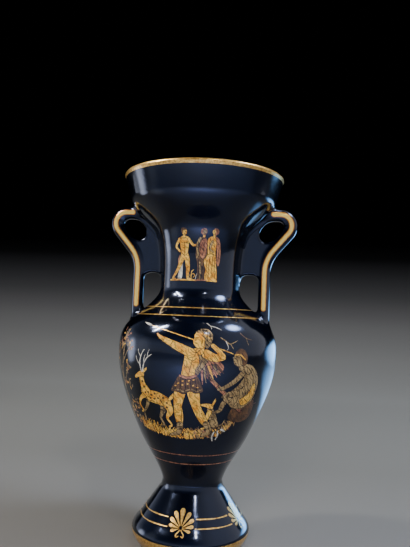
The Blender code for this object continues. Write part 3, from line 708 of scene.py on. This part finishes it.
# The scroll handles
# Each is cast in its own mould and joined to the neck and the shoulder with slip while leather-hard: a round
# roll that starts under the cup, curls out and runs down to the shoulder, with a pierced web behind it.
ROLL_THICKNESS, ROLL_DEPTH = 0.0098, 0.0112
SCROLL_DISTANCE, SCROLL_HEIGHT, SCROLL_RADIUS = 0.0654, 0.2600, 0.0093
SLANT = math.radians(40)
STAY_DISTANCE, ELBOW_RADIUS = 0.0535, 0.0300
WEB_THICKNESS = 0.0070
HOLE_DISTANCE, HOLE_HEIGHT = 0.0583, 0.2555
HOLE_LENGTH, HOLE_WIDTH, HOLE_TILT = 0.0226, 0.0155, math.radians(38)
SLOT_TOP, SLOT_SPRING = 0.2185, 0.2115
EMBED = 0.0022
JOINT_FILLET = 0.0050
CLAY_STEP = 0.0007
STRIPE_WIDTH = 0.0044
STRIPE_START = 0.0050
STRIPE_END = 0.1910


def radius_at(height):
    return np.interp(height, outline[:, 1], outline[:, 0])


def roll_path():
    """The middle of the roll as (distance, height), from under the cup down to the shoulder."""
    crown = SCROLL_HEIGHT + SCROLL_RADIUS
    path = [(radius_at(crown) - EMBED, crown), (SCROLL_DISTANCE - 0.004, crown)]
    for a in np.linspace(math.pi / 2, -SLANT, 24):
        path.append((SCROLL_DISTANCE + SCROLL_RADIUS * math.cos(a), SCROLL_HEIGHT + SCROLL_RADIUS * math.sin(a)))
    turn = math.pi / 2 - SLANT
    corner = path[-1][1] - (path[-1][0] - STAY_DISTANCE) * math.tan(turn)
    elbow = (STAY_DISTANCE + ELBOW_RADIUS, corner - ELBOW_RADIUS * math.tan((math.pi / 2 - turn) / 2))
    for a in np.linspace(math.pi / 2 + turn, math.pi, 12):
        path.append((elbow[0] + ELBOW_RADIUS * math.cos(a), elbow[1] + ELBOW_RADIUS * math.sin(a)))
    path += [(STAY_DISTANCE, STRIPE_END), (STAY_DISTANCE, 0.1747)]
    return np.array(path)


def web_outline(path):
    """The web between neck and roll, from the scroll down to the arch over the slot."""
    line = [tuple(p) for p in path if p[1] > SLOT_SPRING] + [(STAY_DISTANCE, SLOT_SPRING)]
    in_roll = STAY_DISTANCE - ROLL_THICKNESS / 2 + EMBED
    in_neck = radius_at(SLOT_SPRING) - EMBED
    for a in np.linspace(0, math.pi, 17):
        line.append(((in_roll + in_neck) / 2 + (in_roll - in_neck) / 2 * math.cos(a),
                     SLOT_SPRING + (SLOT_TOP - SLOT_SPRING) * math.sin(a)))
    for height in np.linspace(SLOT_SPRING, path[0][1], 25)[1:-1]:
        line.append((radius_at(height) - EMBED, height))
    return np.array(line)


def line_distance(flat, line, closed=False):
    """Distance from points to a line of points; inside a closed one it is negative."""
    flat, back = np.unique(flat, axis=0, return_inverse=True)
    start = line if closed else line[:-1]
    end = np.roll(line, -1, axis=0) if closed else line[1:]
    best = np.full(len(flat), np.inf)
    inside = np.zeros(len(flat), dtype=bool)
    for a, b in zip(start, end):
        run = b - a
        share = np.clip(((flat - a) @ run) / max(run @ run, 1e-18), 0, 1)
        best = np.minimum(best, np.hypot(*(flat - a - share[:, None] * run).T))
        if closed:
            crosses = (a[1] > flat[:, 1]) != (b[1] > flat[:, 1])
            if crosses.any():
                inside ^= crosses & (flat[:, 0] < a[0] + (flat[:, 1] - a[1]) * run[0] / run[1])
    return np.where(inside, -best, best)[back.ravel()]


def blend(a, b, reach):
    """The nearer of two forms, with a fillet of that reach where they meet."""
    share = np.maximum(reach - np.abs(a - b), 0) / reach
    return np.minimum(a, b) - share**2 * reach / 4


roll_line = roll_path()
web_line = web_outline(roll_line)


def handle_parts(points):
    """Signed distances, at points, to the handle and to the body's outside."""
    x, y, z = points.T
    flat = np.column_stack([x, z])
    along_roll = line_distance(flat, roll_line)
    half_width, half_depth = ROLL_THICKNESS / 2, ROLL_DEPTH / 2
    scaled = np.hypot(along_roll / half_width, y / half_depth) + 1e-9
    slope = np.hypot(along_roll / half_width**2, y / half_depth**2) + 1e-9
    roll = scaled * (scaled - 1) / slope
    soft = 0.0022
    hole_x = (x - HOLE_DISTANCE) * math.cos(HOLE_TILT) + (z - HOLE_HEIGHT) * math.sin(HOLE_TILT)
    hole_z = (z - HOLE_HEIGHT) * math.cos(HOLE_TILT) - (x - HOLE_DISTANCE) * math.sin(HOLE_TILT)
    scaled = np.hypot(hole_x / (HOLE_LENGTH / 2), hole_z / (HOLE_WIDTH / 2)) + 1e-9
    slope = np.hypot(hole_x / (HOLE_LENGTH / 2) ** 2, hole_z / (HOLE_WIDTH / 2) ** 2) + 1e-9
    hole = scaled * (scaled - 1) / slope
    flat_web = -blend(-line_distance(flat, web_line, closed=True), hole, 0.002) + soft
    deep = np.abs(y) - WEB_THICKNESS / 2 + soft
    web = np.hypot(np.maximum(flat_web, 0), np.maximum(deep, 0)) + np.minimum(np.maximum(flat_web, deep), 0) - soft
    spread = 0.0004
    radius = np.hypot(x, y)
    lean = (radius_at(z + spread) - radius_at(z - spread)) / (2 * spread)
    return blend(roll, web, 0.0025), (radius - radius_at(z)) / np.sqrt(1 + lean**2)


def handle_form(points):
    """Negative inside the handle with its joints, which end just under the body's skin."""
    handle, body_skin = handle_parts(points)
    under_skin, cut_depth = 0.00002, 0.003
    joined = blend(handle, body_skin, JOINT_FILLET) + under_skin
    return np.maximum(np.maximum(joined, handle - JOINT_FILLET - 0.001), -body_skin - cut_depth)


def form_slope(points):
    reach = 0.00006
    moves = np.eye(3) * reach
    slope = np.column_stack([handle_form(points + m) - handle_form(points - m) for m in moves])
    return slope / np.maximum(np.linalg.norm(slope, axis=1), 1e-12)[:, None]


def handle_skin():
    """A net of four-sided faces on the handle's surface, with its normals."""
    low, high = np.array((0.024, -0.0125, 0.166)), np.array((0.0855, 0.0125, 0.284))
    counts = np.ceil((high - low) / CLAY_STEP).astype(int) + 1
    axes = [low[i] + CLAY_STEP * np.arange(counts[i]) for i in range(3)]
    grid = np.stack(np.meshgrid(*axes, indexing="ij"), axis=-1)
    value = handle_form(grid.reshape(-1, 3)).reshape(counts)
    solid = value < 0
    corners = [(i, j, k) for i in (0, 1) for j in (0, 1) for k in (0, 1)]

    def corner(array, c):
        return array[tuple(slice(c[i], counts[i] - 1 + c[i]) for i in range(3))]

    inside_count = sum(corner(solid, c).astype(int) for c in corners)
    mixed = (inside_count > 0) & (inside_count < 8)
    total, crossings = np.zeros(mixed.shape + (3,)), np.zeros(mixed.shape)
    for c in corners:
        for axis in range(3):
            if c[axis]:
                continue
            d = tuple(1 if i == axis else c[i] for i in range(3))
            a, b = corner(value, c), corner(value, d)
            crossed = (a < 0) != (b < 0)
            share = np.where(crossed, a / np.where(crossed, a - b, 1), 0)
            spot = np.array(c, float) + share[..., None] * (np.array(d) - np.array(c))
            total += np.where(crossed[..., None], spot, 0)
            crossings += crossed
    cells = np.argwhere(mixed)
    number = np.full(mixed.shape, -1)
    number[mixed] = np.arange(len(cells))
    points = low + CLAY_STEP * (cells + (total[mixed] / crossings[mixed][:, None]))
    for again in range(3):
        points = points - form_slope(points) * handle_form(points)[:, None]
    quads = []
    for axis in range(3):
        first, second = (axis + 1) % 3, (axis + 2) % 3
        ahead = [slice(None)] * 3
        ahead[axis] = slice(1, None)
        behind = [slice(None)] * 3
        behind[axis] = slice(0, -1)
        change = solid[tuple(ahead)].astype(int) - solid[tuple(behind)].astype(int)
        for edge in np.argwhere(change != 0):
            if edge[first] == 0 or edge[second] == 0:
                continue
            around = []
            for back_first, back_second in ((1, 1), (0, 1), (0, 0), (1, 0)):
                cell = list(edge)
                cell[first] -= back_first
                cell[second] -= back_second
                around.append(number[tuple(cell)])
            if change[tuple(edge)] > 0:
                around.reverse()
            quads.append(around)
    return points, quads, form_slope(points)


# Black glaze with a gilt stripe: the same glaze, and the same gold laid along the roll with a flat brush. The gold is
# painted brighter along the stripe's middle and browner at its edges, a painted highlight and painted shade of the
# roll's round.
def striped_glaze():
    material = black_gloss_glaze()
    material.name = "black_glaze_with_gilt_stripe"
    shader = material.node_tree.nodes["Principled BSDF"]
    glaze_colour = shader.inputs["Base Color"].links[0].from_socket
    stripe = add_node(material, "ShaderNodeAttribute", {"attribute_name": "stripe"})
    place = add_node(material, "ShaderNodeTexCoord")
    worn = add_node(material, "ShaderNodeTexNoise", {"Scale": 1 / 0.0025, "Detail": 3.0},
                    {"Vector": place.outputs["Object"]})
    edge = add_node(material, "ShaderNodeMath", {"operation": "MULTIPLY_ADD", 1: 0.5, 2: -0.25}, {0: worn.outputs["Fac"]})
    uneven = add_node(material, "ShaderNodeMath", {"operation": "ADD"}, {0: stripe.outputs["Fac"], 1: edge.outputs["Value"]})
    cover = add_node(material, "ShaderNodeMapRange", {"From Min": 0.06, "From Max": -0.06}, {"Value": uneven.outputs["Value"]})
    # Painted highlight and shade across the stripe: bright yellow in its middle, brown at its edges.
    painted_sheen_across_stripe = add_node(material, "ShaderNodeMapRange", {"From Min": -0.25, "From Max": -1.1}, {"Value": uneven.outputs["Value"]})
    gold = add_node(material, "ShaderNodeValToRGB", (), {"Fac": painted_sheen_across_stripe.outputs["Result"]})
    gold.color_ramp.elements[0].color = srgb("#8C5420")
    gold.color_ramp.elements[1].color = srgb("#FFD468")
    gold.color_ramp.elements.new(0.45).color = srgb("#DE9630")
    mixed = add_node(material, "ShaderNodeMix", {"data_type": "RGBA"}, {"Factor": cover.outputs["Result"]})
    join_nodes(material, glaze_colour, mixed.inputs[6])
    join_nodes(material, gold.outputs["Color"], mixed.inputs[7])
    join_nodes(material, mixed.outputs[2], shader.inputs["Base Color"])
    metal = add_node(material, "ShaderNodeMath", {"operation": "MULTIPLY", 1: 0.75}, {0: cover.outputs["Result"]})
    join_nodes(material, metal.outputs["Value"], shader.inputs["Metallic"])
    gloss = add_node(material, "ShaderNodeMapRange", {"To Min": 0.045, "To Max": 0.30}, {"Value": cover.outputs["Result"]})
    join_nodes(material, gloss.outputs["Result"], shader.inputs["Roughness"])
    return material


skin_points, skin_quads, skin_normals = handle_skin()
stripe_root = (radius_at(roll_line[0, 1]) + STRIPE_START, roll_line[0, 1])
stripe_line = np.vstack([stripe_root, roll_line[1:-1]])
stripe_gap = line_distance(skin_points[:, [0, 2]], stripe_line) - STRIPE_WIDTH / 2
handle_glaze = striped_glaze()
for name, side in (("handle_right", 1), ("handle_left", -1)):
    mirror = np.array((side, 1, 1))
    mesh = bpy.data.meshes.new(name)
    mesh.from_pydata((skin_points * mirror).tolist(), [], [quad[::side] for quad in skin_quads])
    mesh.polygons.foreach_set("use_smooth", np.ones(len(mesh.polygons), dtype=bool))
    mesh.normals_split_custom_set_from_vertices((skin_normals * mirror).tolist())
    attribute = mesh.attributes.new("stripe", "FLOAT", "POINT")
    attribute.data.foreach_set("value", 1000 * stripe_gap)
    mesh.materials.append(handle_glaze)
    handle = bpy.data.objects.new(name, mesh)
    bpy.context.scene.collection.objects.link(handle)
    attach(handle, "root")
    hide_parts("vase")

# The camera stands at the photograph's height and turn, pitched up a little and rolled with the picture.
CAMERA_AZIMUTH = math.radians(8.0)
CAMERA_DISTANCE = 0.4717
CAMERA_ASIDE = 0.0035
EYE_HEIGHT = 0.1849
PITCH = math.atan2(40.5, 560)
ROLL = math.radians(2.33)
LENS = 36.86


def studio_camera():
    camera = bpy.data.objects.new("camera", bpy.data.cameras.new("camera"))
    camera.data.lens = LENS
    camera.data.sensor_width = 36.0
    camera.data.clip_start = 0.01
    turn = Matrix.Rotation(CAMERA_AZIMUTH, 4, "Z")
    tilt = Matrix.Rotation(math.pi / 2 + PITCH, 4, "X") @ Matrix.Rotation(ROLL, 4, "Z")
    camera.matrix_world = turn @ Matrix.Translation((CAMERA_ASIDE, -CAMERA_DISTANCE, EYE_HEIGHT)) @ tilt
    bpy.context.scene.collection.objects.link(camera)
    bpy.context.scene.camera = camera


studio_camera()

# The studio: a pale paper floor that sweeps up behind the vase. Its colour holds painted light and shade: brighter
# and bluish in front as a painted pool of light, darker near the vase and darkening to black as it rises as painted
# shade. A wide window stands to the right and a little behind, a narrow one to the left, and three lamps hang in front
# and above.
FLOOR_WIDTH = 6.0
FLOOR_FRONT, SWEEP_START, SWEEP_RADIUS, SWEEP_TOP = -2.6, 0.75, 1.5, 3.4
# Painted light and shade on the paper, by distance along it: pale blue in front, darker grey by the vase, black up the
# sweep.
PAPER_PAINTED_LIGHT_AND_SHADE = ((-1.2, "#D9DFEC"), (-0.5, "#C4CCDC"), (-0.25, "#ACB1BC"), (-0.08, "#83807A"), (0.25, "#827F76"),
                (0.60, "#918E84"), (0.87, "#9C998F"), (1.27, "#8F8C83"), (1.57, "#7A7770"), (1.72, "#66635E"),
                (1.87, "#4D4B48"),
                (2.00, "#3B3A38"), (2.10, "#2B2A29"), (2.22, "#10100F"), (2.36, "#020202"), (2.60, "#000000"))


def studio_floor():
    profile = [(FLOOR_FRONT, 0.0), (SWEEP_START, 0.0)]
    for i in range(1, 25):
        a = math.pi / 2 * i / 24
        profile.append((SWEEP_START + SWEEP_RADIUS * math.sin(a), SWEEP_RADIUS * (1 - math.cos(a))))
    profile.append((SWEEP_START + SWEEP_RADIUS, SWEEP_TOP))
    points = [(side * FLOOR_WIDTH / 2, y, z) for y, z in profile for side in (-1, 1)]
    faces = [(2 * i, 2 * i + 1, 2 * i + 3, 2 * i + 2) for i in range(len(profile) - 1)]
    mesh = bpy.data.meshes.new("studio_floor")
    mesh.from_pydata(points, [], faces)
    mesh.polygons.foreach_set("use_smooth", np.ones(len(faces), dtype=bool))
    material, shader = new_material("studio_paper_painted_light_and_shade", {"Roughness": 0.9, "Specular IOR Level": 0.0})
    place = add_node(material, "ShaderNodeTexCoord")
    split = add_node(material, "ShaderNodeSeparateXYZ", (), {"Vector": place.outputs["Object"]})
    back = add_node(material, "ShaderNodeMath", {"operation": "ADD"}, {0: split.outputs["Y"], 1: split.outputs["Z"]})
    run = add_node(material, "ShaderNodeMapRange", {"From Min": PAPER_PAINTED_LIGHT_AND_SHADE[0][0], "From Max": PAPER_PAINTED_LIGHT_AND_SHADE[-1][0]},
                   {"Value": back.outputs["Value"]})
    # This colour ramp paints the paper's light and shade.
    shade = add_node(material, "ShaderNodeValToRGB", (), {"Fac": run.outputs["Result"]})
    shade.color_ramp.elements[0].color = srgb(PAPER_PAINTED_LIGHT_AND_SHADE[0][1])
    shade.color_ramp.elements[1].color = srgb(PAPER_PAINTED_LIGHT_AND_SHADE[-1][1])
    for distance, colour in PAPER_PAINTED_LIGHT_AND_SHADE[1:-1]:
        share = (distance - PAPER_PAINTED_LIGHT_AND_SHADE[0][0]) / (PAPER_PAINTED_LIGHT_AND_SHADE[-1][0] - PAPER_PAINTED_LIGHT_AND_SHADE[0][0])
        shade.color_ramp.elements.new(share).color = srgb(colour)
    join_nodes(material, shade.outputs["Color"], shader.inputs["Base Color"])
    mesh.materials.append(material)
    floor = bpy.data.objects.new("studio_floor", mesh)
    bpy.context.scene.collection.objects.link(floor)


def studio_light(name, azimuth, distance, height, size, power, colour):
    """A soft light that faces the vase and fades to its edges, at an azimuth counted from the camera's own."""
    data = bpy.data.lights.new(name, "AREA")
    data.shape, data.size, data.size_y = "RECTANGLE", size[0], size[1]
    data.energy, data.color = power, srgb(colour)[:3]
    data.use_nodes = True
    spot = add_node(data, "ShaderNodeNewGeometry")
    centred = add_node(data, "ShaderNodeVectorMath", {"operation": "MULTIPLY_ADD", 1: (2, 2, 0), 2: (-1, -1, 0)},
                       {0: spot.outputs["Parametric"]})
    fade = add_node(data, "ShaderNodeTexGradient", {"gradient_type": "SPHERICAL"}, {"Vector": centred.outputs["Vector"]})
    glow = add_node(data, "ShaderNodeMapRange", {"interpolation_type": "SMOOTHSTEP", "From Max": 0.7, "To Max": 2.5},
                    {"Value": fade.outputs["Fac"]})
    join_nodes(data, glow.outputs["Result"], data.node_tree.nodes["Emission"].inputs["Strength"])
    light = bpy.data.objects.new(name, data)
    turn = CAMERA_AZIMUTH + math.radians(azimuth)
    light.location = (distance * math.sin(turn), -distance * math.cos(turn), height)
    light.rotation_euler = (Vector((0, 0, 0.16)) - light.location).to_track_quat("-Z", "Y").to_euler()
    light.visible_camera = False
    bpy.context.scene.collection.objects.link(light)
    return light


def room_light():
    """A room that is bright and a little blue along the walls, and dark overhead."""
    world = bpy.data.worlds.new("pale_room")
    world.use_nodes = True
    background = world.node_tree.nodes["Background"]
    place = add_node(world, "ShaderNodeTexCoord")
    split = add_node(world, "ShaderNodeSeparateXYZ", (), {"Vector": place.outputs["Generated"]})
    walls = add_node(world, "ShaderNodeValToRGB", (), {"Fac": split.outputs["Z"]})
    walls.color_ramp.elements[0].color = srgb("#DEE4F4")
    walls.color_ramp.elements[1].color = srgb("#1C1F25")
    for position, colour in ((0.15, "#DCE6FF"), (0.40, "#626C84"), (0.75, "#262A34")):
        walls.color_ramp.elements.new(position).color = srgb(colour)
    turn = CAMERA_AZIMUTH + math.radians(88)
    window_side = Vector((math.sin(turn), -math.cos(turn), 0.45)).normalized()
    toward = add_node(world, "ShaderNodeVectorMath", {"operation": "DOT_PRODUCT", 1: window_side},
                      {0: place.outputs["Generated"]})
    lobe = add_node(world, "ShaderNodeMapRange", {"interpolation_type": "SMOOTHSTEP", "From Min": 0.25, "From Max": 0.95},
                    {"Value": toward.outputs["Value"]})
    sky = add_node(world, "ShaderNodeMix", {"data_type": "RGBA"}, {"Factor": lobe.outputs["Result"]})
    join_nodes(world, walls.outputs["Color"], sky.inputs[6])
    sky.inputs[7].default_value = srgb("#F4F6FF")
    join_nodes(world, sky.outputs[2], background.inputs["Color"])
    background.inputs["Strength"].default_value = 1.1
    bpy.context.scene.world = world


studio_floor()
room_light()
window_right = studio_light("window_right", 132, 1.00, 0.13, (1.00, 0.32), 4.4, "#7FBEFF")
window_glow = studio_light("window_glow", 132, 0.32, 0.06, (0.42, 0.15), 0.34, "#7FBEFF")
card_left = studio_light("card_left", -76, 0.34, 0.14, (0.20, 0.30), 0.045, "#E8ECE8")
lamp_strip = studio_light("lamp_strip", -77, 0.60, 0.82, (0.05, 0.44), 15.0, "#FFFFFF")
for panel in (window_right, window_glow, card_left, lamp_strip):
    panel.visible_diffuse = False
lamp_fill = studio_light("lamp_fill", -12, 0.90, 0.60, (0.40, 0.40), 5.0, "#FFF4E2")
lamp_floor = studio_light("lamp_floor", 0, 0.44, 0.15, (0.56, 0.26), 2.4, "#C4D0FF")
lamp_floor.rotation_euler = (0, 0, CAMERA_AZIMUTH)
for lamp in (lamp_fill, lamp_floor):
    lamp.visible_glossy = False
studio_light("window_left", -104, 0.80, 0.14, (0.34, 0.44), 1.0, "#E4ECFF")
studio_light("lamp_right", 84, 0.60, 1.05, (0.46, 0.36), 12.0, "#C8DCFF")
studio_light("lamp_front", 16, 0.72, 1.00, (0.09, 0.13), 2.5, "#FFFFFF")
studio_light("lamp_left", -90, 0.75, 0.95, (0.12, 0.16), 5.0, "#FFFFFF")
